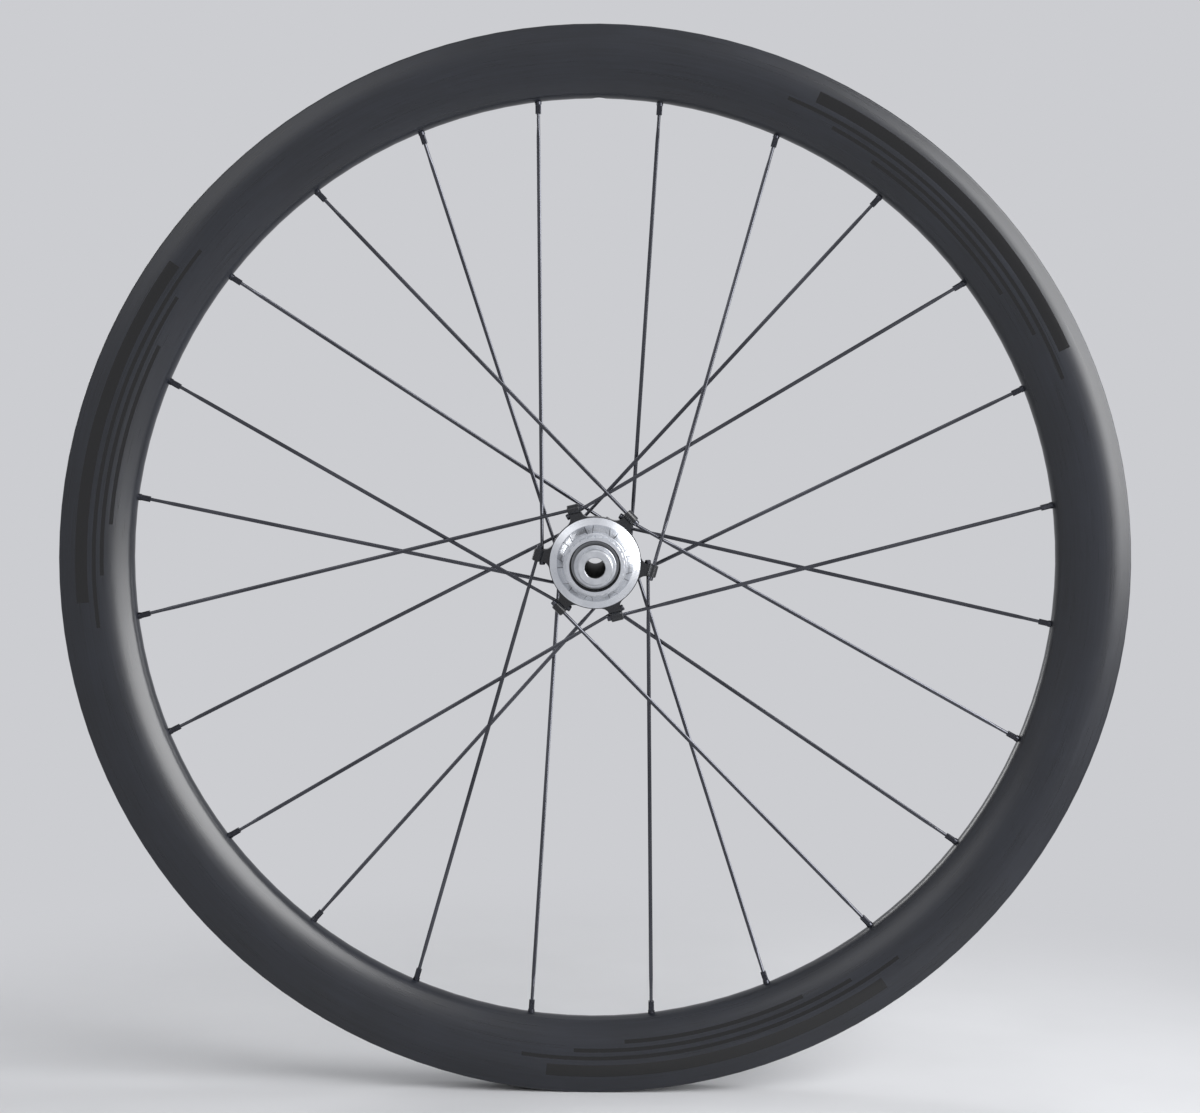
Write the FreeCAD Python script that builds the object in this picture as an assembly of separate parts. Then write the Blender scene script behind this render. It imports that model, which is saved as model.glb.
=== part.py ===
import FreeCAD, Part
import math
import os
from collections import namedtuple

# A front road wheel for a disc brake and a through axle: hollow deep rim, bladed straight-pull spokes, hub on
# two cartridge bearings. Millimetres and degrees. The axle lies along Y, the disc side faces -Y, Z is up, and
# angles run from +X towards +Z. The origin is the middle of the wheel.

Vec = FreeCAD.Vector
CENTRE = Vec(0, 0, 0)
AXLE_WAY = Vec(0, 1, 0)
OVERRUN = 1.0
SAME = 0.001

# Rim
bead_seat_dia = 622.0
bead_flange_height = 5.5
tyre_bed_width = 21.0
bead_flange_round = 1.1
rim_depth = 43.1
rim_width = 30.4
widest_below_edge = 15.0
nose_radius = 9.0
well_depth = 4.2
well_floor_width = 10.4
bead_shelf_width = 3.9
side_wall = 1.3
nose_wall = 2.8
bed_wall = 1.7
valve_hole_dia = 6.6
valve_countersink = 1.2

# Spokes and nipples
lugs_per_side = 6
lug_offset_half_pitches = 3
cross_pitches = 5
spoke_dia = 2.0
blade_width = 2.3
blade_thick = 1.0
blade_taper = 6.0
round_at_hub = 21.0
round_at_rim = 8.0
spoke_head_dia = 3.6
spoke_head_length = 2.2
thread_clearance = 0.03
nipple_dia = 4.0
nipple_flats = 3.3
nipple_flats_length = 5.6
nipple_show = 7.0
nipple_head_dia = 5.8
nipple_head_length = 2.6
nipple_hole_clearance = 0.2
seat_depth = 0.6
spoke_past_seat = 1.2
access_hole_dia = 8.0

# Spoke lugs on the disc side, which is the larger flange; an inset is a distance in from the fork's face
disc_lead_reach = 33.7
disc_trail_reach = 31.2
disc_lead_inset = 34.6
disc_trail_inset = 38.0
disc_lug_dia = 5.8
disc_lug_length = 7.2
disc_ring_dia = 54.4
disc_ring_front_inset = 33.8
disc_ring_back_inset = 40.8
disc_arm_width = 7.0
disc_root_fillet = 5.5

# Spoke lugs on the plain side
plain_reach = 20.9
plain_lead_inset = 14.0
plain_trail_inset = 18.0
plain_lug_dia = 5.4
plain_lug_length = 6.8
plain_ring_dia = 34.4
plain_ring_front_inset = 20.6
plain_ring_back_inset = 11.4
plain_arm_width = 6.0
plain_root_fillet = 3.5

lug_hole_clearance = 0.12
head_pocket_clearance = 0.3
flange_flare = 9.0

# Hub shell
spline_dia = 34.8
spline_length = 8.5
spline_end_inset = 11.5
spline_grooves = 24
spline_groove_dia = 1.8
rotor_shoulder_dia = 37.4
lockring_thread_dia = 29.4
cone_dia = 45.2
cone_inset = 32.6
dish_dia = 53.5
pad_count = 9
pad_arc = 26.0
pad_height = 0.45
pad_margin = 1.0
waist_dia = 31.0
plain_end_dia = 33.2
plain_end_inset = 6.8
shell_bore_dia = 24.0
edge_chamfer = 0.4

# Axle, end caps and bearings
hub_width = 100.0
through_axle_bore = 12.1
bearing_bore = 15.0
bearing_dia = 28.0
bearing_width = 7.0
disc_bearing_inset = 23.2
plain_bearing_inset = 10.9
axle_middle_dia = 17.6
axle_end_inset = 3.5
cap_fit = 0.03
cap_face_dia = 20.8
cap_flange_dia = 24.8
cap_flange_thick = 2.0
cap_sleeve_dia = 18.4
cap_chamfer = 0.8
bore_chamfer = 0.35
plain_flange_gap = 0.6
oring_section = 0.64
oring_groove_depth = 0.65
oring_groove_room = 0.1
oring_from_axle_end = 1.6
ball_count = 11
ball_dia = 3.5
race_clearance = 0.04
race_shoulder = 0.95
cage_thick = 1.0
cage_width = 4.6
cage_pocket_clearance = 0.12
seal_thick = 0.7
seal_inset = 0.1
seal_seat = 0.4
seal_lip_gap = 0.15

# Values worked out from the sizes above
bead_seat_r = bead_seat_dia / 2
rim_r = bead_seat_r + bead_flange_height
nose_r = rim_r - rim_depth
widest_r = rim_r - widest_below_edge
nipple_seat_r = nose_r + nose_wall - seat_depth
pitch = 360.0 / (4 * lugs_per_side)
valve_angle = 90.0
disc_face_y = -hub_width / 2
plain_face_y = hub_width / 2
spline_end_y = disc_face_y + spline_end_inset
shoulder_y = spline_end_y + spline_length
cone_y = disc_face_y + cone_inset
disc_ring_front_y = disc_face_y + disc_ring_front_inset
disc_ring_back_y = disc_face_y + disc_ring_back_inset
disc_bearing_y = disc_face_y + disc_bearing_inset
plain_ring_front_y = plain_face_y - plain_ring_front_inset
plain_ring_back_y = plain_face_y - plain_ring_back_inset
plain_bearing_y = plain_face_y - plain_bearing_inset
plain_end_y = plain_face_y - plain_end_inset
pitch_r = (bearing_bore + bearing_dia) / 4

# reach: the spoke's distance from the axle; y: its place along the axle; both by lead (1) or trail (-1).
Side = namedtuple("Side", "name turn reach y lug_dia lug_length ring_dia front_y back_y arm_width fillet")
SpokeLine = namedtuple("SpokeLine", "node side seat way turn length lug_middle")

DISC = Side(
    "disc",
    lug_offset_half_pitches,
    {1: disc_lead_reach, -1: disc_trail_reach},
    {1: disc_face_y + disc_lead_inset, -1: disc_face_y + disc_trail_inset},
    disc_lug_dia,
    disc_lug_length,
    disc_ring_dia,
    disc_ring_front_y,
    disc_ring_back_y,
    disc_arm_width,
    disc_root_fillet,
)
PLAIN = Side(
    "plain",
    -lug_offset_half_pitches,
    {1: plain_reach, -1: plain_reach},
    {1: plain_face_y - plain_lead_inset, -1: plain_face_y - plain_trail_inset},
    plain_lug_dia,
    plain_lug_length,
    plain_ring_dia,
    plain_ring_front_y,
    plain_ring_back_y,
    plain_arm_width,
    plain_root_fillet,
)


def polar(radius, angle, y=0.0):
    """The point at a radius and an angle about the axle."""
    turn = math.radians(angle)
    return Vec(radius * math.cos(turn), y, radius * math.sin(turn))


def lug_angle(side, index):
    return valve_angle + pitch * (4 * index + side.turn / 2)


def bezier(*poles):
    """A curve in the turning profile's plane, from (radius, y) control points."""
    curve = Part.BezierCurve()
    curve.setPoles([Vec(radius, y, 0) for radius, y in poles])
    return curve.toShape()


def lines(*points):
    """Straight edges through (radius, y) points."""
    corners = [Vec(radius, y, 0) for radius, y in points]
    return [Part.LineSegment(a, b).toShape() for a, b in zip(corners, corners[1:])]


def turned(edges):
    """The solid that a closed profile sweeps about the axle."""
    return Part.Face(Part.Wire(Part.__sortEdges__(edges))).revolve(CENTRE, AXLE_WAY, 360)


def turned_outline(*points):
    return turned(lines(*points, points[0]))


def tube(dia_out, dia_in, y_start, y_end):
    return turned_outline(
        (dia_in / 2, y_start), (dia_out / 2, y_start), (dia_out / 2, y_end), (dia_in / 2, y_end)
    )


def spun(*points):
    """The solid that (radius, z) points sweep about the local Z axis."""
    corners = [Vec(radius, 0, z) for radius, z in points]
    return Part.Face(Part.makePolygon(corners + corners[:1])).revolve(CENTRE, Vec(0, 0, 1), 360)


def rod(dia, z_start, z_end):
    return Part.makeCylinder(dia / 2, z_end - z_start, Vec(0, 0, z_start))


def barrel(dia, length):
    """A rod about its own middle with both ends broken."""
    half = length / 2
    radius = dia / 2
    return spun(
        (0, -half),
        (radius - edge_chamfer, -half),
        (radius, edge_chamfer - half),
        (radius, half - edge_chamfer),
        (radius - edge_chamfer, half),
        (0, half),
    )


def spoke_line(side, lead, index):
    """A spoke's axis: from its head's seat on the lug to the nipple's seat in the rim."""
    lug = lug_angle(side, index)
    reach = side.reach[lead]
    nipple_angle = lug + lead * cross_pitches * pitch
    foot_angle = nipple_angle - lead * math.degrees(math.acos(reach / nipple_seat_r))
    foot = polar(reach, foot_angle, side.y[lead])
    seat = polar(nipple_seat_r, nipple_angle)
    way = (seat - foot).normalize()
    across = way.cross(AXLE_WAY).normalize()
    turn = FreeCAD.Rotation(across, way.cross(across), way, "ZXY")
    foot_to_lug = reach * math.tan(math.radians(abs(lug - foot_angle)))
    length = (seat - foot).Length - foot_to_lug + side.lug_length / 2
    name = {1: "leading", -1: "trailing"}[lead]
    node = f"{side.name}_{name}_spoke_{index + 1}"
    return SpokeLine(node, side, seat, way, turn, length, length - side.lug_length / 2)


def placed(shape, line, from_seat):
    """A local shape moved onto a spoke's axis, its origin that far from the nipple's seat."""
    copy = shape.copy()
    copy.Placement = FreeCAD.Placement(line.seat + line.way * from_seat, line.turn)
    return copy


def ellipse_wire(width, thick, z):
    if width > thick:
        curve = Part.Ellipse(Vec(0, 0, z), width / 2, thick / 2)
    else:
        curve = Part.Circle(Vec(0, 0, z), Vec(0, 0, 1), width / 2)
    return Part.Wire(curve.toShape())


def spoke(line):
    """One bladed spoke: upset head, round shank, flattened blade and round threaded end."""
    shank_end = line.side.lug_length + round_at_hub
    thread_start = line.length - nipple_show - (nipple_seat_r - nose_r) - round_at_rim
    sections = (
        (spoke_dia, spoke_dia, 0.0),
        (spoke_dia, spoke_dia, shank_end),
        (blade_width, blade_thick, shank_end + blade_taper),
        (blade_width, blade_thick, thread_start - blade_taper),
        (spoke_dia, spoke_dia, thread_start),
        (spoke_dia, spoke_dia, line.length + spoke_past_seat),
    )
    shank = Part.makeLoft([ellipse_wire(*section) for section in sections], True, True)
    head_r = spoke_head_dia / 2
    head = spun(
        (0, -spoke_head_length),
        (head_r - edge_chamfer, -spoke_head_length),
        (head_r, edge_chamfer - spoke_head_length),
        (head_r, 0),
        (0, 0),
    )
    return placed(shank.fuse(head), line, -line.length)


def nipple():
    """One nipple in its own frame: head above its seat at zero, flats below, bored for the spoke."""
    end = nose_r - nipple_seat_r - nipple_show
    flats_end = end + nipple_flats_length
    head_r = nipple_head_dia / 2
    head = spun(
        (0, 0),
        (head_r, 0),
        (head_r, nipple_head_length / 2),
        (head_r - nipple_head_length / 2, nipple_head_length),
        (0, nipple_head_length),
    )
    block = Part.makeBox(nipple_flats, nipple_flats, nipple_flats_length)
    block.translate(Vec(-nipple_flats / 2, -nipple_flats / 2, end))
    flats = rod(nipple_dia, end, flats_end).common(block)
    body = rod(nipple_dia, flats_end, 0).fuse([flats, head])
    return body.cut(rod(spoke_dia + 2 * thread_clearance, end - OVERRUN, nipple_head_length + OVERRUN))


def oval(half, apex_r, apex_radius, top_r):
    """The rounded body of the rim's section: a nose arc, then a tangent arc up each flank to the top radius.

    Gives the edges and the half width at the top.
    """
    rise = widest_r - apex_r - apex_radius
    flank = (rise**2 + half**2 - apex_radius**2) / (2 * (half - apex_radius))
    lean = math.atan2(rise, flank - half)
    top_lean = math.asin((top_r - widest_r) / flank)
    mid_lean = (lean - top_lean) / 2
    mid_y = half - flank * (1 - math.cos(mid_lean))
    top_y = half - flank * (1 - math.cos(top_lean))
    meet_r = apex_r + apex_radius * (1 - math.sin(lean))
    meet_y = apex_radius * math.cos(lean)
    edges = [Part.Arc(Vec(meet_r, -meet_y, 0), Vec(apex_r, 0, 0), Vec(meet_r, meet_y, 0)).toShape()]
    for hand in (-1, 1):
        low = Vec(meet_r, hand * meet_y, 0)
        middle = Vec(widest_r - flank * math.sin(mid_lean), hand * mid_y, 0)
        edges.append(Part.Arc(low, middle, Vec(top_r, hand * top_y, 0)).toShape())
    return edges, top_y


def rim_blank():
    """The hollow rim without its holes."""
    half = rim_width / 2
    bed_half = tyre_bed_width / 2
    edge_r = rim_r - bead_flange_round
    well_r = bead_seat_r - well_depth
    well_half = well_floor_width / 2
    shelf_y = bed_half - bead_shelf_width
    edges, outer_y = oval(half, nose_r, nose_radius, edge_r)
    crest_y = (bed_half + outer_y) / 2
    for hand in (-1, 1):
        outside = Vec(edge_r, hand * outer_y, 0)
        inside = Vec(edge_r, hand * bed_half, 0)
        edges.append(Part.Arc(outside, Vec(rim_r, hand * crest_y, 0), inside).toShape())
    edges += lines(
        (edge_r, -bed_half),
        (bead_seat_r, -bed_half),
        (bead_seat_r, -shelf_y),
        (well_r, -well_half),
        (well_r, well_half),
        (bead_seat_r, shelf_y),
        (bead_seat_r, bed_half),
        (edge_r, bed_half),
    )
    hollow_half = half - side_wall
    roof_r = well_r - bed_wall
    roof_half = well_half + bed_wall / 2
    corner_r = bead_seat_r - 2 * bed_wall
    hollow, shoulder_half = oval(hollow_half, nose_r + nose_wall, nose_radius - side_wall, widest_r)
    hollow += lines(
        (widest_r, -shoulder_half),
        (corner_r, -bed_half),
        (roof_r, -roof_half),
        (roof_r, roof_half),
        (corner_r, bed_half),
        (widest_r, shoulder_half),
    )
    return turned(edges).cut(turned(hollow))


def rim(spoke_lines):
    """The rim with its spoke holes, nipple seats, access holes and valve hole."""
    hole = rod(nipple_dia + 2 * nipple_hole_clearance, -3 * nose_wall, seat_depth)
    seat = rod(nipple_head_dia + 2 * nipple_hole_clearance, 0, 2 * nipple_head_length)
    access = rod(access_hole_dia, rim_depth / 2, rim_depth)
    drill = hole.fuse(seat)
    cuts = []
    for line in spoke_lines:
        cuts += [placed(drill, line, 0), placed(access, line, 0)]
    start = Vec(0, 0, nose_r - OVERRUN)
    valve_r = valve_hole_dia / 2
    sink_depth = valve_countersink + OVERRUN
    valve = Part.makeCylinder(valve_r, rim_depth + 2 * OVERRUN, start)
    sink = Part.makeCone(valve_r + sink_depth, valve_r, sink_depth, start)
    return rim_blank().cut(cuts + [valve, sink])


def star(side):
    """A flange: a ring with an arm for each spoke lug, its root corners rounded."""
    ring_r = side.ring_dia / 2
    thick = side.back_y - side.front_y
    ring = Part.makeCylinder(ring_r, thick, Vec(0, side.front_y, 0), AXLE_WAY)
    arm_top = max(side.reach.values()) - side.lug_dia / 8
    arms = []
    for index in range(lugs_per_side):
        arm = Part.makeBox(arm_top - ring_r / 2, thick, side.arm_width)
        arm.translate(Vec(ring_r / 2, side.front_y, -side.arm_width / 2))
        arm.rotate(CENTRE, AXLE_WAY, -lug_angle(side, index))
        arms.append(arm)
    flange = ring.fuse(arms).removeSplitter()
    corners = []
    for edge in flange.Edges:
        ends = [vertex.Point for vertex in edge.Vertexes]
        if len(ends) == 2 and abs(abs(ends[0].y - ends[1].y) - thick) < SAME:
            at_ring = abs(math.hypot(ends[0].x, ends[0].z) - ring_r) < SAME
            if at_ring and math.hypot(ends[1].x - ends[0].x, ends[1].z - ends[0].z) < SAME:
                corners.append(edge)
    return flange.makeFillet(side.fillet, corners)


def shell_outside():
    """The turned outside of the hub shell: splined rotor seat, dished disc side, waist and plain end."""
    spline_r = spline_dia / 2
    shoulder_r = rotor_shoulder_dia / 2
    dish_r = dish_dia / 2
    waist_r = waist_dia / 2
    end_r = plain_end_dia / 2
    flare_start = (dish_r - edge_chamfer, disc_ring_back_y)
    flare_end = (waist_r, disc_ring_back_y + dish_r)
    profile = lines(
        flare_start,
        (dish_r, disc_ring_back_y),
        (dish_r, disc_ring_front_y),
        (cone_dia / 2, cone_y),
        (shoulder_r, shoulder_y + edge_chamfer),
        (shoulder_r - edge_chamfer, shoulder_y),
        (spline_r, shoulder_y),
        (spline_r, spline_end_y + edge_chamfer),
        (spline_r - edge_chamfer, spline_end_y),
        (0, spline_end_y),
        (0, plain_end_y),
        (end_r - edge_chamfer, plain_end_y),
        (end_r, plain_end_y - edge_chamfer),
        (end_r, plain_ring_front_y),
        (waist_r, plain_ring_front_y),
        flare_end,
    )
    flare = bezier(flare_end, (waist_r, disc_ring_back_y + flange_flare), flare_start)
    return turned(profile + [flare])


def shell_bore():
    """What is bored out of the shell: lockring thread, a bearing seat at each side and the room between."""
    thread_r = lockring_thread_dia / 2
    bearing_r = bearing_dia / 2
    bore_r = shell_bore_dia / 2
    disc_step = disc_bearing_y + bearing_width / 2
    plain_step = plain_bearing_y - bearing_width / 2
    disc_face = disc_bearing_y - bearing_width / 2
    return turned_outline(
        (0, spline_end_y),
        (thread_r + edge_chamfer, spline_end_y),
        (thread_r, spline_end_y + edge_chamfer),
        (thread_r, disc_face),
        (bearing_r, disc_face),
        (bearing_r, disc_step),
        (bore_r, disc_step),
        (bore_r, plain_step),
        (bearing_r, plain_step),
        (bearing_r, plain_end_y),
        (0, plain_end_y),
    )


def cone_pads():
    """Plain raised pads around the cone between the rotor's shoulder and the dish."""
    low = Vec(rotor_shoulder_dia / 2, shoulder_y + edge_chamfer, 0)
    high = Vec(cone_dia / 2, cone_y, 0)
    slope = (high - low).normalize()
    lift = Vec(slope.y, -slope.x, 0) * pad_height
    start = low + slope * pad_margin
    end = high - slope * pad_margin
    corners = [start - lift, start + lift, end + lift, end - lift]
    ring = turned_outline(*[(corner.x, corner.y) for corner in corners])
    width = 2 * high.x * math.sin(math.radians(pad_arc / 2))
    length = end.y - start.y + 4 * pad_height
    fingers = []
    for index in range(pad_count):
        finger = Part.makeBox(high.x + pad_height, length, width)
        finger.translate(Vec(0, start.y - 2 * pad_height, -width / 2))
        finger.rotate(CENTRE, AXLE_WAY, 360.0 * index / pad_count)
        fingers.append(ring.common(finger))
    return fingers


def spline_cuts():
    """The grooves of the rotor's spline."""
    groove = Part.makeCylinder(
        spline_groove_dia / 2,
        spline_length + OVERRUN,
        Vec(spline_dia / 2, spline_end_y - OVERRUN, 0),
        AXLE_WAY,
    )
    cuts = []
    for index in range(spline_grooves):
        copy = groove.copy()
        copy.rotate(CENTRE, AXLE_WAY, 360.0 * index / spline_grooves)
        cuts.append(copy)
    return cuts


def hub_shell(spoke_lines):
    """The machined hub shell: turned body, two lugged flanges, spoke holes and the rotor's spline."""
    adds = [star(DISC), star(PLAIN)] + cone_pads()
    cuts = spline_cuts()
    for line in spoke_lines:
        side = line.side
        adds.append(placed(barrel(side.lug_dia, side.lug_length), line, -line.lug_middle))
        hole = rod(spoke_dia + 2 * lug_hole_clearance, -OVERRUN, 2 * side.lug_length)
        pocket = rod(spoke_head_dia + 2 * head_pocket_clearance, -2 * spoke_head_length, 0)
        cuts.append(placed(hole.fuse(pocket), line, -line.length))
    return shell_outside().fuse(adds).cut(cuts + [shell_bore()]).removeSplitter()


def end_cap(bearing_y, hand, flange_y):
    """An end cap from the fork's face to the bearing's inner ring; hand is the side's sign along the axle."""
    face_y = hand * hub_width / 2
    inner_y = bearing_y + hand * bearing_width / 2
    step_y = face_y - hand * axle_end_inset
    bore_r = through_axle_bore / 2
    socket_r = bearing_bore / 2 + cap_fit
    face_r = cap_face_dia / 2
    flange_r = cap_flange_dia / 2
    sleeve_r = cap_sleeve_dia / 2
    flange_in = flange_y - hand * cap_flange_thick
    return turned_outline(
        (bore_r + bore_chamfer, face_y),
        (face_r - cap_chamfer, face_y),
        (face_r, face_y - hand * cap_chamfer),
        (face_r, flange_y),
        (flange_r - edge_chamfer, flange_y),
        (flange_r, flange_y - hand * edge_chamfer),
        (flange_r, flange_in),
        (sleeve_r, flange_in),
        (sleeve_r, inner_y),
        (socket_r, inner_y),
        (socket_r, step_y),
        (bore_r, step_y),
        (bore_r, face_y - hand * bore_chamfer),
    )


def oring_y(hand):
    return hand * (hub_width / 2 - axle_end_inset - oring_from_axle_end)


def axle():
    """The hub's axle tube: a shoulder between the bearings and a ring groove near each end."""
    end_y = hub_width / 2 - axle_end_inset
    body = tube(bearing_bore, through_axle_bore, -end_y, end_y)
    shoulder = tube(
        axle_middle_dia,
        through_axle_bore,
        disc_bearing_y + bearing_width / 2,
        plain_bearing_y - bearing_width / 2,
    )
    groove_dia = bearing_bore - 2 * oring_groove_depth
    grooves = []
    for hand in (-1, 1):
        middle = oring_y(hand)
        half = oring_section / 2 + oring_groove_room
        grooves.append(tube(axle_middle_dia, groove_dia, middle - half, middle + half))
    return body.fuse(shoulder).cut(grooves).removeSplitter()


def oring(hand):
    """A rubber ring seated in the axle's groove, inside the end cap."""
    middle_r = (bearing_bore / 2 - oring_groove_depth) + oring_section / 2
    return Part.makeTorus(middle_r, oring_section / 2, Vec(0, oring_y(hand), 0), AXLE_WAY)


def bearing(name, y):
    """A sealed cartridge bearing: two rings with ball grooves, balls, cage and two seals."""
    half = bearing_width / 2
    outer_shoulder = pitch_r + race_shoulder
    inner_shoulder = pitch_r - race_shoulder
    seal_out = outer_shoulder + seal_seat
    race = Part.makeTorus(pitch_r, ball_dia / 2 + race_clearance, Vec(0, y, 0), AXLE_WAY)
    recesses = []
    seals = {}
    for hand, place in ((-1, "left"), (1, "right")):
        face = y + hand * (half - seal_inset)
        back = face - hand * seal_thick
        recesses.append(tube(2 * seal_out, 2 * inner_shoulder, *sorted((back, y + hand * (half + OVERRUN)))))
        seals[f"{name}_{place}_seal"] = tube(
            2 * seal_out, 2 * (inner_shoulder + seal_lip_gap), *sorted((face, back))
        )
    outer = tube(bearing_dia, 2 * outer_shoulder, y - half, y + half).cut([race] + recesses)
    inner = tube(2 * inner_shoulder, bearing_bore, y - half, y + half).cut(race)
    cage = tube(2 * pitch_r + cage_thick, 2 * pitch_r - cage_thick, y - cage_width / 2, y + cage_width / 2)
    balls = []
    pockets = []
    for index in range(ball_count):
        angle = 360.0 * index / ball_count
        balls.append(Part.makeSphere(ball_dia / 2, polar(pitch_r, angle, y)))
        inside = polar(pitch_r - cage_thick, angle, y)
        pocket_r = ball_dia / 2 + cage_pocket_clearance
        pockets.append(Part.makeCylinder(pocket_r, 2 * cage_thick, inside, polar(1, angle)))
    return {
        f"{name}_outer_ring": outer,
        f"{name}_inner_ring": inner,
        f"{name}_cage": cage.cut(pockets),
        f"{name}_balls": Part.makeCompound(balls),
        **seals,
    }


def wheel():
    """Every piece of the wheel, by the name of its node."""
    spoke_lines = [
        spoke_line(side, lead, index)
        for side in (DISC, PLAIN)
        for lead in (1, -1)
        for index in range(lugs_per_side)
    ]
    disc_flange_y = spline_end_y - cap_flange_thick / 2
    plain_flange_y = plain_end_y + plain_flange_gap + cap_flange_thick
    parts = {line.node: spoke(line) for line in spoke_lines}
    parts["rim"] = rim(spoke_lines)
    parts["nipples"] = Part.makeCompound([placed(nipple(), line, 0) for line in spoke_lines])
    parts["hub_shell"] = hub_shell(spoke_lines)
    parts["axle"] = axle()
    parts["disc_end_cap"] = end_cap(disc_bearing_y, -1, disc_flange_y)
    parts["plain_end_cap"] = end_cap(plain_bearing_y, 1, plain_flange_y)
    parts["disc_oring"] = oring(-1)
    parts["plain_oring"] = oring(1)
    parts.update(bearing("disc_bearing", disc_bearing_y))
    parts.update(bearing("plain_bearing", plain_bearing_y))
    return parts


os.makedirs("parts", exist_ok=True)
for node, shape in wheel().items():
    shape.exportStep(f"parts/{node}.step")
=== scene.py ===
import math

import bpy
from mathutils import Matrix, Vector


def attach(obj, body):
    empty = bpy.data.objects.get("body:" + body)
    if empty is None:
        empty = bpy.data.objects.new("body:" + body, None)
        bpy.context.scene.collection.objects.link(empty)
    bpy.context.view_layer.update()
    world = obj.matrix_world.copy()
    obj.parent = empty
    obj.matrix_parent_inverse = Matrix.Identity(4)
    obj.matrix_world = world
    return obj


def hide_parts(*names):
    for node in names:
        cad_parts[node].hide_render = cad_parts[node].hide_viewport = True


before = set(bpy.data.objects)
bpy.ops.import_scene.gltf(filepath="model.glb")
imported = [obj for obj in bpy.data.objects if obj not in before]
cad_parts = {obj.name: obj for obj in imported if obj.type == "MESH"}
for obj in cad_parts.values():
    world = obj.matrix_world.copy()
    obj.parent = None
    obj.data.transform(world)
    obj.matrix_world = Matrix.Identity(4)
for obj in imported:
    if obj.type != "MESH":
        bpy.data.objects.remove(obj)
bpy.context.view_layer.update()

# A front bicycle wheel seen from its disc side. Metres; the axle lies along Y and the disc side faces -Y.
MM = 0.001

# The photograph's frame and its camera
FRAME_WIDTH = 1200
FRAME_HEIGHT = 1113
FOCAL_PIXELS = 3026
SENSOR_MM = 36.0
CAMERA_DISTANCE = 1.80
CAMERA_RISE = math.radians(5.19)
CAMERA_PITCH = math.radians(2.7)
CAMERA_ROLL = math.radians(0.5)
WHEEL_PIXEL = (595.1, 560.5)

# Hub: the bare silver lies between two radii and ahead of one depth, and its cone carries the pads
SILVER_RADIUS = 26.78 * MM
BORE_RADIUS = 14.95 * MM
SILVER_FROM_Y = -16.0 * MM
PAD_COUNT = 9
PAD_HALF_WIDTH = 5.0 * MM
PAD_MIDDLE_RADIUS = 20.65 * MM
PAD_HALF_LENGTH = 1.75 * MM
PAD_LINE_HALF_WIDTH = 0.22 * MM

# Rim: three equal groups of gloss arcs; each bar has its middle radius and width in mm and half its arc in degrees
BAR_GROUPS = 3
BAR_GROUP_MIDDLE_DEG = 45.0
GLOSS_BARS = (
    (286.5, 2.2, 11.0),
    (291.0, 2.2, 17.0),
    (295.5, 2.2, 23.0),
    (303.0, 7.0, 20.0),
)
HOOP_RADIUS = 295 * MM
RIM_CREASE = math.radians(32)
MERGE_DISTANCE = 0.001 * MM

# Studio: the floor touches the rim and fades into the backdrop between two distances from there
FLOOR_Z = -316.5 * MM
FLOOR_RADIUS = 9.0
FLOOR_FADE_FROM = 0.28
FLOOR_FADE_TO = 0.64
BACKDROP = "#cccdd1"
WORLD_STRENGTH = 0.18

# Softboxes: name, place, width and height, watts
SOFTBOXES = (
    # Broad and to the right: draws the bright band inside the rim's left half and along its right edge
    ("key_softbox", (1.41, -1.01, 0.60), (1.5, 1.6), 62),
    # Fills the side that faces the camera
    ("front_softbox", (-1.1, -2.0, 1.1), (1.0, 1.0), 4),
    ("top_softbox", (0.2, 0.3, 2.6), (1.6, 1.6), 5),
    # Low and far right: thin light on the outermost edge of the rim
    ("edge_softbox", (1.90, 0.42, 0.50), (0.5, 1.3), 8),
    # Lights the far side for the views from behind
    ("back_softbox", (-1.5, 1.25, 0.8), (0.6, 1.3), 15),
)


def linear(hex_colour):
    """An sRGB hex colour as linear red, green, blue and alpha."""
    parts = [int(hex_colour[i:i + 2], 16) / 255 for i in (1, 3, 5)]
    return [c / 12.92 if c <= 0.04045 else ((c + 0.055) / 1.055) ** 2.4 for c in parts] + [1.0]


def join(tree, socket, value):
    """Links a socket from another one, or sets it to a value."""
    if isinstance(value, bpy.types.NodeSocket):
        tree.links.new(value, socket)
    else:
        socket.default_value = value


def add(tree, kind, settings=None, stops=(), out=0, **inputs):
    """Adds a node with its settings, a ramp's stops and its inputs, and returns one of its outputs. An input is a
    value, or a socket to link from. _0 stands for input 0."""
    node = tree.nodes.new(kind)
    for name, value in (settings or {}).items():
        setattr(node, name, value)
    for number, (position, hex_colour) in enumerate(stops):
        node.color_ramp.elements[number].position = position
        node.color_ramp.elements[number].color = linear(hex_colour)
    for name, value in inputs.items():
        socket = node.inputs[int(name[1:]) if name.startswith("_") else name.replace("_", " ")]
        join(tree, socket, value)
    return node.outputs[out]


def new_material(name):
    """A new material with its node tree and its Principled shader."""
    material = bpy.data.materials.new(name)
    material.use_nodes = True
    tree = material.node_tree
    return material, tree, tree.nodes["Principled BSDF"]


def give(shader, **inputs):
    """Sets or links a shader's inputs."""
    for name, value in inputs.items():
        join(shader.id_data, shader.inputs[name.replace("_", " ")], value)


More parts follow.
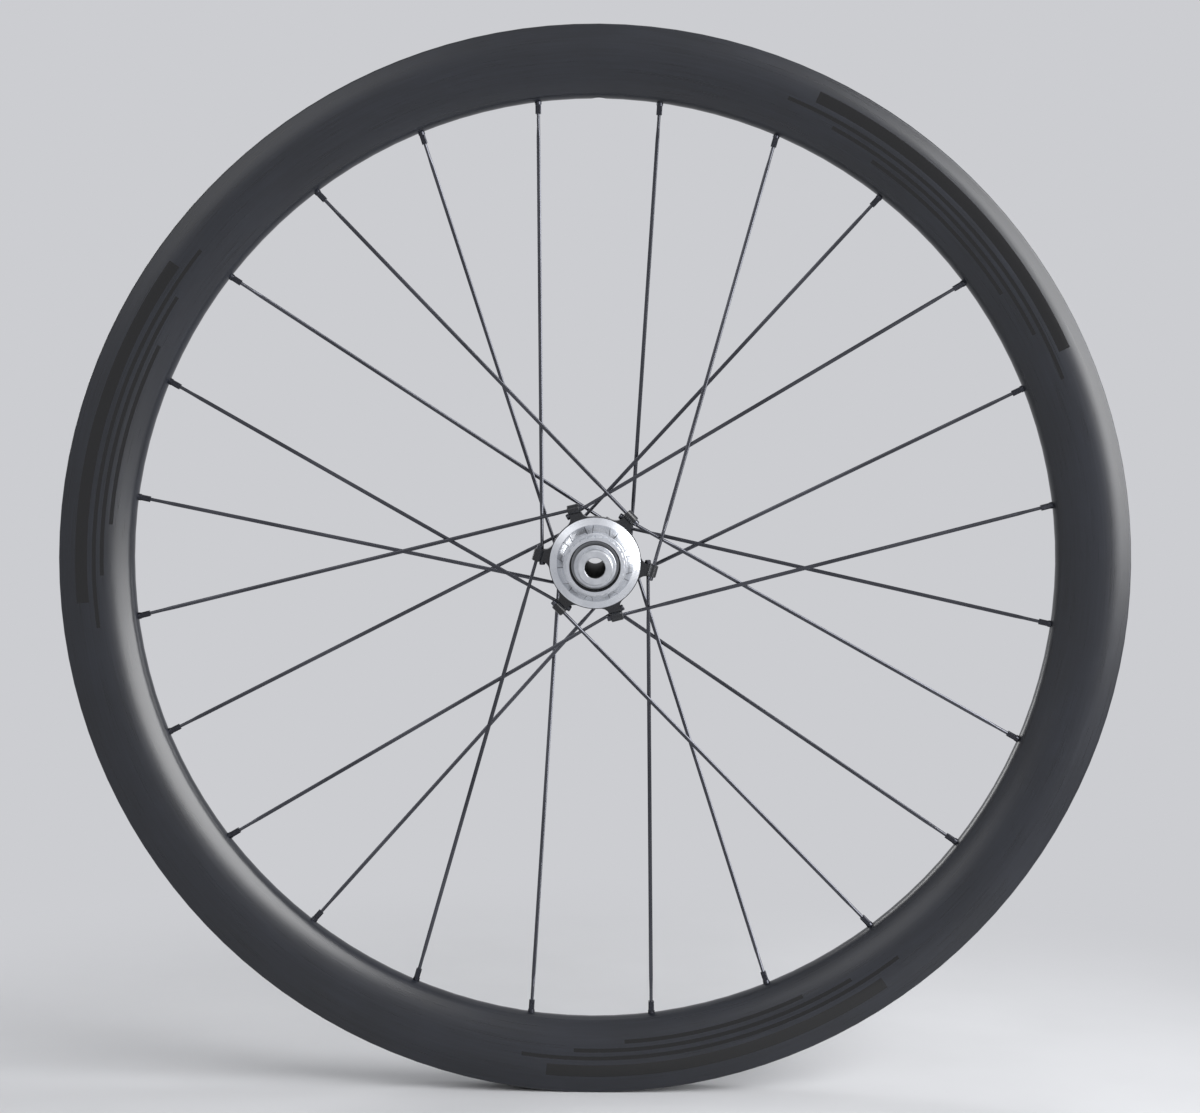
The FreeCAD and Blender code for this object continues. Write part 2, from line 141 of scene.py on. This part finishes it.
def wheel_place(tree):
    """Sockets for a point's place on the wheel: the plain vector, x, y, distance from the axle and angle about it."""
    spot = add(tree, "ShaderNodeTexCoord", out="Object")
    x, y, z = add(tree, "ShaderNodeSeparateXYZ", _0=spot).node.outputs
    flat = add(tree, "ShaderNodeCombineXYZ", X=x, Z=z)
    reach = add(tree, "ShaderNodeVectorMath", {"operation": "LENGTH"}, out="Value", _0=flat)
    angle = add(tree, "ShaderNodeMath", {"operation": "ARCTAN2"}, _0=z, _1=x)
    return spot, x, y, reach, angle


def fibre_tows(tree, x, y, reach, angle):
    """Streaks of fibre along the hoop. The angle jumps once per turn, so the streaks are drawn twice with the jump on
    opposite sides, and each drawing is used on its unbroken half."""
    # Tows about 0.7 mm wide and 45 mm long; real ones are finer, drawn coarse enough to show.
    tow_width = 0.7 * MM
    tow_length = 45 * MM
    half_blend = 60 * MM
    out = add(tree, "ShaderNodeMath", {"operation": "DIVIDE"}, _0=reach, _1=tow_width)
    side = add(tree, "ShaderNodeMath", {"operation": "DIVIDE"}, _0=y, _1=tow_width)
    streaks = []
    for turn in (0.0, math.pi):
        turned = add(tree, "ShaderNodeMath", {"operation": "ADD"}, _0=angle, _1=turn)
        lap = add(tree, "ShaderNodeMath", {"operation": "WRAP"}, _0=turned, _1=math.pi, _2=-math.pi)
        along = add(tree, "ShaderNodeMath", {"operation": "MULTIPLY"}, _0=lap, _1=HOOP_RADIUS / tow_length)
        place = add(tree, "ShaderNodeCombineXYZ", X=along, Y=out, Z=side)
        streaks.append(add(tree, "ShaderNodeTexNoise", Vector=place, Scale=1.0, Detail=3.0, Roughness=0.6))
    right_half = add(tree, "ShaderNodeMapRange", {"interpolation_type": "SMOOTHSTEP"}, Value=x,
                     From_Min=-half_blend, From_Max=half_blend)
    return add(tree, "ShaderNodeMix", Factor=right_half, A=streaks[1], B=streaks[0])


def gloss_bars(tree, reach, angle):
    """1 on the rim's arc bars and 0 elsewhere."""
    share = add(tree, "ShaderNodeMath", {"operation": "MULTIPLY_ADD"}, _0=angle, _1=BAR_GROUPS / (2 * math.pi),
                _2=0.5 - BAR_GROUPS * BAR_GROUP_MIDDLE_DEG / 360)
    sector = add(tree, "ShaderNodeMath", {"operation": "FRACT"}, _0=share)
    mask = 0.0
    for middle, width, half_arc in GLOSS_BARS:
        arc = add(tree, "ShaderNodeMath", {"operation": "COMPARE"}, _0=sector, _1=0.5,
                  _2=half_arc * BAR_GROUPS / 360)
        ring = add(tree, "ShaderNodeMath", {"operation": "COMPARE"}, _0=reach, _1=middle * MM, _2=width / 2 * MM)
        bar = add(tree, "ShaderNodeMath", {"operation": "MULTIPLY"}, _0=arc, _1=ring)
        mask = add(tree, "ShaderNodeMath", {"operation": "MAXIMUM"}, _0=mask, _1=bar)
    return mask


def moulded_carbon():
    """Carbon fibre composite, moulded and left satin: near-black with faint fibre streaks along the hoop, a soft
    sheen on the bulged flanks, and plain arc bars of gloss black lacquer."""
    material, tree, shader = new_material("carbon_composite_moulded_satin")
    spot, x, y, reach, angle = wheel_place(tree)
    fibre = fibre_tows(tree, x, y, reach, angle)
    bars = gloss_bars(tree, reach, angle)
    # Slow cloudiness of the resin, patches about 35 mm across.
    resin_patch = 35 * MM
    cloud = add(tree, "ShaderNodeTexNoise", Vector=spot, Scale=1 / resin_patch, Detail=2.0)
    tone = add(tree, "ShaderNodeMath", {"operation": "MULTIPLY_ADD"}, _0=cloud, _1=0.45, _2=fibre)
    carbon = add(tree, "ShaderNodeValToRGB", stops=((0.45, "#101217"), (1.0, "#1b1e26")), _0=tone)
    colour = add(tree, "ShaderNodeMix", {"data_type": "RGBA"}, out=2, Factor=bars, _6=carbon,
                 _7=linear("#050506"))
    lacquer_roughness = 0.13
    satin_roughness = 0.24
    fibre_roughness = 0.10
    satin = add(tree, "ShaderNodeMath", {"operation": "MULTIPLY_ADD"}, _0=fibre, _1=fibre_roughness,
                _2=satin_roughness)
    rough = add(tree, "ShaderNodeMix", Factor=bars, A=satin, B=lacquer_roughness)
    bump = add(tree, "ShaderNodeBump", Strength=0.12, Distance=0.05 * MM, Height=fibre)
    give(shader, Base_Color=colour, Roughness=rough, Normal=bump, Specular_IOR_Level=0.58)
    return material


def blackened_spoke_steel():
    """Drawn stainless steel with a black oxide finish: thin dark lines that take a bright glint along one edge."""
    material, tree, shader = new_material("stainless_steel_drawn_black_oxide")
    spot = add(tree, "ShaderNodeTexCoord", out="Object")
    # Slow changes of the oxide over about 60 mm, and rub grain of 0.8 mm, drawn coarse enough to show.
    oxide_patch = 60 * MM
    rub_grain = 0.8 * MM
    marks = add(tree, "ShaderNodeTexNoise", Vector=spot, Scale=1 / oxide_patch, Detail=2.0)
    grain = add(tree, "ShaderNodeTexNoise", Vector=spot, Scale=1 / rub_grain, Detail=2.0)
    colour = add(tree, "ShaderNodeValToRGB", stops=((0.3, "#45464b"), (0.75, "#5a5b61")), _0=marks)
    rough = add(tree, "ShaderNodeMath", {"operation": "MULTIPLY_ADD"}, _0=grain, _1=0.06, _2=0.22)
    give(shader, Base_Color=colour, Metallic=1.0, Roughness=rough)
    return material


def anodised_nipple_alloy():
    """Aluminium, turned and anodised black: small dark studs with sharp bright glints on their flats."""
    material, tree, shader = new_material("aluminium_turned_black_anodised")
    spot = add(tree, "ShaderNodeTexCoord", out="Object")
    # Fine grain of the anodised skin, drawn at 0.5 mm so that it shows.
    skin_grain = 0.5 * MM
    grain = add(tree, "ShaderNodeTexNoise", Vector=spot, Scale=1 / skin_grain, Detail=3.0)
    colour = add(tree, "ShaderNodeValToRGB", stops=((0.3, "#323338"), (0.8, "#4a4b51")), _0=grain)
    rough = add(tree, "ShaderNodeMath", {"operation": "MULTIPLY_ADD"}, _0=grain, _1=0.15, _2=0.2)
    give(shader, Base_Color=colour, Metallic=1.0, Roughness=rough)
    return material


def turning_rings(tree, reach, y, pitch):
    """Height of a lathe tool's fine marks, one every pitch along the turned surface."""
    path = add(tree, "ShaderNodeMath", {"operation": "ADD"}, _0=reach, _1=y)
    phase = add(tree, "ShaderNodeMath", {"operation": "MULTIPLY"}, _0=path, _1=2 * math.pi / pitch)
    return add(tree, "ShaderNodeMath", {"operation": "SINE"}, _0=phase)


def pad_outlines(tree, reach, angle):
    """1 on the dull lines, about 0.45 mm wide, along both sides of each pad on the hub's cone."""
    share = add(tree, "ShaderNodeMath", {"operation": "MULTIPLY_ADD"}, _0=angle, _1=PAD_COUNT / (2 * math.pi),
                _2=0.5)
    sector = add(tree, "ShaderNodeMath", {"operation": "FRACT"}, _0=share)
    turn = add(tree, "ShaderNodeMath", {"operation": "MULTIPLY_ADD"}, _0=sector, _1=2 * math.pi / PAD_COUNT,
               _2=-math.pi / PAD_COUNT)
    sine = add(tree, "ShaderNodeMath", {"operation": "SINE"}, _0=turn)
    beside = add(tree, "ShaderNodeMath", {"operation": "MULTIPLY"}, _0=sine, _1=reach)
    off_middle = add(tree, "ShaderNodeMath", {"operation": "ABSOLUTE"}, _0=beside)
    at_side = add(tree, "ShaderNodeMath", {"operation": "COMPARE"}, _0=off_middle, _1=PAD_HALF_WIDTH,
                  _2=PAD_LINE_HALF_WIDTH)
    on_cone = add(tree, "ShaderNodeMath", {"operation": "COMPARE"}, _0=reach, _1=PAD_MIDDLE_RADIUS,
                  _2=PAD_HALF_LENGTH)
    return add(tree, "ShaderNodeMath", {"operation": "MULTIPLY"}, _0=at_side, _1=on_cone)


def bare_face(tree, y, reach):
    """1 where the hub is turned back to bare metal: the disc side's cone and rings, but not the bore."""
    inside = add(tree, "ShaderNodeMath", {"operation": "LESS_THAN"}, _0=reach, _1=SILVER_RADIUS)
    ahead = add(tree, "ShaderNodeMath", {"operation": "LESS_THAN"}, _0=y, _1=SILVER_FROM_Y)
    outside = add(tree, "ShaderNodeMath", {"operation": "GREATER_THAN"}, _0=reach, _1=BORE_RADIUS)
    front = add(tree, "ShaderNodeMath", {"operation": "MULTIPLY"}, _0=inside, _1=ahead)
    return add(tree, "ShaderNodeMath", {"operation": "MULTIPLY"}, _0=front, _1=outside)


def machined_hub():
    """Aluminium hub shell: bead-blasted and anodised black, then turned back to bare bright metal on the disc side,
    which shows fine lathe rings. The black shows a fine even grain."""
    material, tree, shader = new_material("aluminium_machined_two_finishes")
    spot, x, y, reach, angle = wheel_place(tree)
    etched = pad_outlines(tree, reach, angle)
    bare = bare_face(tree, y, reach)
    # Lathe marks are about 0.1 mm apart, drawn at 0.5 mm so that they show. Blasting leaves pits of about 0.35 mm.
    lathe_pitch = 0.5 * MM
    blast_pit = 0.35 * MM
    handling_smear = 12 * MM
    rings = turning_rings(tree, reach, y, lathe_pitch)
    blast = add(tree, "ShaderNodeTexNoise", Vector=spot, Scale=1 / blast_pit, Detail=2.0)
    smear = add(tree, "ShaderNodeTexNoise", Vector=spot, Scale=1 / handling_smear, Detail=2.0)
    silver = add(tree, "ShaderNodeValToRGB", stops=((0.25, "#ced1d6"), (0.8, "#e0e2e6")), _0=smear)
    black = add(tree, "ShaderNodeValToRGB", stops=((0.3, "#0b0c0f"), (0.8, "#16181d")), _0=blast)
    marked = add(tree, "ShaderNodeMix", {"data_type": "RGBA"}, out=2, Factor=etched, _6=silver,
                 _7=linear("#5f6268"))
    colour = add(tree, "ShaderNodeMix", {"data_type": "RGBA"}, out=2, Factor=bare, _6=black, _7=marked)
    bright_rough = add(tree, "ShaderNodeMath", {"operation": "MULTIPLY_ADD"}, _0=rings, _1=0.05, _2=0.3)
    black_rough = add(tree, "ShaderNodeMath", {"operation": "MULTIPLY_ADD"}, _0=blast, _1=0.14, _2=0.20)
    rough = add(tree, "ShaderNodeMix", Factor=bare, A=black_rough, B=bright_rough)
    height = add(tree, "ShaderNodeMix", Factor=bare, A=blast, B=rings)
    bump = add(tree, "ShaderNodeBump", Strength=0.18, Distance=0.02 * MM, Height=height)
    give(shader, Base_Color=colour, Metallic=bare, Roughness=rough, Normal=bump, Specular_IOR_Level=0.6)
    return material


def turned_cap_alloy():
    """Aluminium turned on a lathe and left bare: pale grey metal with fine rings about the axle."""
    material, tree, shader = new_material("aluminium_turned_bare")
    spot, x, y, reach, angle = wheel_place(tree)
    # Lathe marks are about 0.1 mm apart, drawn at 0.45 mm so that they show.
    lathe_pitch = 0.45 * MM
    handling_smear = 5 * MM
    rings = turning_rings(tree, reach, y, lathe_pitch)
    smear = add(tree, "ShaderNodeTexNoise", Vector=spot, Scale=1 / handling_smear, Detail=3.0)
    colour = add(tree, "ShaderNodeValToRGB", stops=((0.25, "#c2c5ca"), (0.8, "#dcdee2")), _0=smear)
    rough = add(tree, "ShaderNodeMath", {"operation": "MULTIPLY_ADD"}, _0=smear, _1=0.16, _2=0.24)
    bump = add(tree, "ShaderNodeBump", Strength=0.18, Distance=0.02 * MM, Height=rings)
    give(shader, Base_Color=colour, Metallic=1.0, Roughness=rough, Normal=bump)
    return material


def speckled(name, low, high, speck_mm, metallic, rough_low, rough_span):
    """A small inner piece: two close tones in fine speckle, drawn coarse enough to show, and its roughness with
    them."""
    material, tree, shader = new_material(name)
    spot = add(tree, "ShaderNodeTexCoord", out="Object")
    grain = add(tree, "ShaderNodeTexNoise", Vector=spot, Scale=1 / (speck_mm * MM), Detail=3.0)
    colour = add(tree, "ShaderNodeValToRGB", stops=((0.3, low), (0.75, high)), _0=grain)
    rough = add(tree, "ShaderNodeMath", {"operation": "MULTIPLY_ADD"}, _0=grain, _1=rough_span, _2=rough_low)
    give(shader, Base_Color=colour, Metallic=metallic, Roughness=rough)
    return material


def dress():
    """Gives every CAD node its finish."""
    spoke_steel = blackened_spoke_steel()
    finishes = {
        "rim": moulded_carbon(),
        "nipples": anodised_nipple_alloy(),
        "hub_shell": machined_hub(),
        # A dull dark lining of the bore
        "axle": speckled("aluminium_drawn_black_anodised", "#101113", "#1a1b1d", 0.5, 0.0, 0.55, 0.2),
    }
    # Ground steel is painted a darker mid grey than bare steel, as painted shade deep in the bore; rubber a soft dark
    # grey, and the ball cage a dull tan.
    steel = speckled("bearing_steel_ground_painted_shade", "#94969a", "#a9abaf", 0.8, 1.0, 0.26, 0.14)
    endings = (
        ("_end_cap", turned_cap_alloy()),
        ("_oring", speckled("nitrile_rubber_ring", "#121214", "#1c1c1f", 0.4, 0.0, 0.45, 0.2)),
        ("_seal", speckled("nitrile_rubber_moulded", "#16161a", "#242428", 0.5, 0.0, 0.5, 0.2)),
        ("_cage", speckled("nylon_moulded", "#8a6f46", "#a3875a", 0.6, 0.0, 0.4, 0.2)),
        ("_balls", steel),
        ("_ring", steel),
    )
    for name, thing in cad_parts.items():
        finish = finishes.get(name) or (spoke_steel if "_spoke_" in name else None)
        for ending, material in endings:
            if finish is None and name.endswith(ending):
                finish = material
        for slot in thing.material_slots:
            slot.material = finish


def smooth_rim():
    """The rim with its facets joined, so that its flanks shade as one smooth bulge."""
    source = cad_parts["rim"]
    bpy.ops.object.select_all(action="DESELECT")
    source.select_set(True)
    bpy.context.view_layer.objects.active = source
    bpy.ops.object.duplicate()
    rim = bpy.context.object
    rim.name = "rim_moulding"
    bpy.ops.mesh.customdata_custom_splitnormals_clear()
    bpy.ops.object.mode_set(mode="EDIT")
    bpy.ops.mesh.select_all(action="SELECT")
    bpy.ops.mesh.remove_doubles(threshold=MERGE_DISTANCE)
    bpy.ops.object.mode_set(mode="OBJECT")
    bpy.ops.object.shade_smooth_by_angle(angle=RIM_CREASE)
    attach(rim, "wheel")
    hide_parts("rim")


def seen_factor(tree):
    """1 for rays that carry the background to the eye: straight from the camera, mirrored, or through glass."""
    ray = tree.nodes.new("ShaderNodeLightPath").outputs
    seen = add(tree, "ShaderNodeMath", {"operation": "MAXIMUM"}, _0=ray["Is Camera Ray"], _1=ray["Is Glossy Ray"])
    return add(tree, "ShaderNodeMath", {"operation": "MAXIMUM"}, _0=seen, _1=ray["Is Transmission Ray"])


def painted_floor():
    """Pale studio floor, painted: keeps the shadow near the wheel and fades into the backdrop further out."""
    material, tree, shader = new_material("studio_floor_painted")
    spot = add(tree, "ShaderNodeTexCoord", out="Object")
    # Faint patches of the paint, nine to a metre.
    patches_per_metre = 9.0
    mottle = add(tree, "ShaderNodeTexNoise", Vector=spot, Scale=patches_per_metre, Detail=3.0)
    colour = add(tree, "ShaderNodeValToRGB", stops=((0.0, "#cfd0d3"), (1.0, "#d9dadd")), _0=mottle)
    give(shader, Base_Color=colour, Roughness=0.8)
    away = add(tree, "ShaderNodeVectorMath", {"operation": "LENGTH"}, out="Value", _0=spot)
    fade = add(tree, "ShaderNodeMapRange", {"interpolation_type": "SMOOTHSTEP"}, Value=away,
               From_Min=FLOOR_FADE_FROM, From_Max=FLOOR_FADE_TO)
    factor = add(tree, "ShaderNodeMath", {"operation": "MULTIPLY"}, _0=fade, _1=seen_factor(tree))
    glow = add(tree, "ShaderNodeEmission", Color=linear(BACKDROP), Strength=1.0)
    mix = add(tree, "ShaderNodeMixShader", _0=factor, _1=shader.outputs[0], _2=glow)
    tree.links.new(mix, tree.nodes["Material Output"].inputs["Surface"])
    return material


def studio_floor():
    """A round floor under the rim, far wider than the view."""
    bpy.ops.object.select_all(action="DESELECT")
    bpy.ops.mesh.primitive_circle_add(vertices=96, radius=FLOOR_RADIUS, fill_type="NGON",
                                      location=(0, 0, FLOOR_Z))
    floor = bpy.context.object
    floor.name = "studio_floor"
    floor.data.materials.append(painted_floor())


def studio_world():
    """Soft even light all round, shown to the eye as the pale backdrop."""
    world = bpy.data.worlds.new("studio")
    world.use_nodes = True
    tree = world.node_tree
    bpy.context.scene.world = world
    soft = add(tree, "ShaderNodeBackground", Color=linear("#eef0f4"), Strength=WORLD_STRENGTH)
    shown = add(tree, "ShaderNodeBackground", Color=linear(BACKDROP), Strength=1.0)
    mix = add(tree, "ShaderNodeMixShader", _0=seen_factor(tree), _1=soft, _2=shown)
    tree.links.new(mix, tree.nodes["World Output"].inputs["Surface"])


def lamp(name, place, size, watts):
    """A rectangular softbox turned towards the wheel's centre."""
    bpy.ops.object.light_add(type="AREA", location=place)
    light = bpy.context.object
    light.name = name
    light.data.shape = "RECTANGLE"
    light.data.size, light.data.size_y = size
    light.data.energy = watts
    light.rotation_euler = (-Vector(place)).to_track_quat("-Z", "Y").to_euler()


def photograph():
    """The camera: a little above the axle, looking slightly down, the frame slid so that the wheel fills it."""
    data = bpy.data.cameras.new("photograph")
    camera = bpy.data.objects.new("photograph", data)
    bpy.context.scene.collection.objects.link(camera)
    back = CAMERA_DISTANCE * math.cos(CAMERA_RISE)
    rise = CAMERA_DISTANCE * math.sin(CAMERA_RISE)
    camera.location = (0, -back, rise)
    upright = Matrix.Rotation(math.pi / 2 - CAMERA_PITCH, 3, "X")
    camera.rotation_euler = (upright @ Matrix.Rotation(CAMERA_ROLL, 3, "Z")).to_euler()
    data.sensor_fit = "HORIZONTAL"
    data.sensor_width = SENSOR_MM
    data.lens = SENSOR_MM * FOCAL_PIXELS / FRAME_WIDTH
    depth = back * math.cos(CAMERA_PITCH) + rise * math.sin(CAMERA_PITCH)
    below = rise * math.cos(CAMERA_PITCH) - back * math.sin(CAMERA_PITCH)
    pixels_below = FOCAL_PIXELS * below / depth
    middle_x = FRAME_WIDTH / 2 - pixels_below * math.sin(CAMERA_ROLL)
    middle_y = FRAME_HEIGHT / 2 + pixels_below * math.cos(CAMERA_ROLL)
    data.shift_x = (middle_x - WHEEL_PIXEL[0]) / FRAME_WIDTH
    data.shift_y = (WHEEL_PIXEL[1] - middle_y) / FRAME_WIDTH
    bpy.context.scene.camera = camera


dress()
smooth_rim()
studio_floor()
studio_world()
for softbox in SOFTBOXES:
    lamp(*softbox)
photograph()

bpy.context.scene.view_settings.view_transform = "Standard"
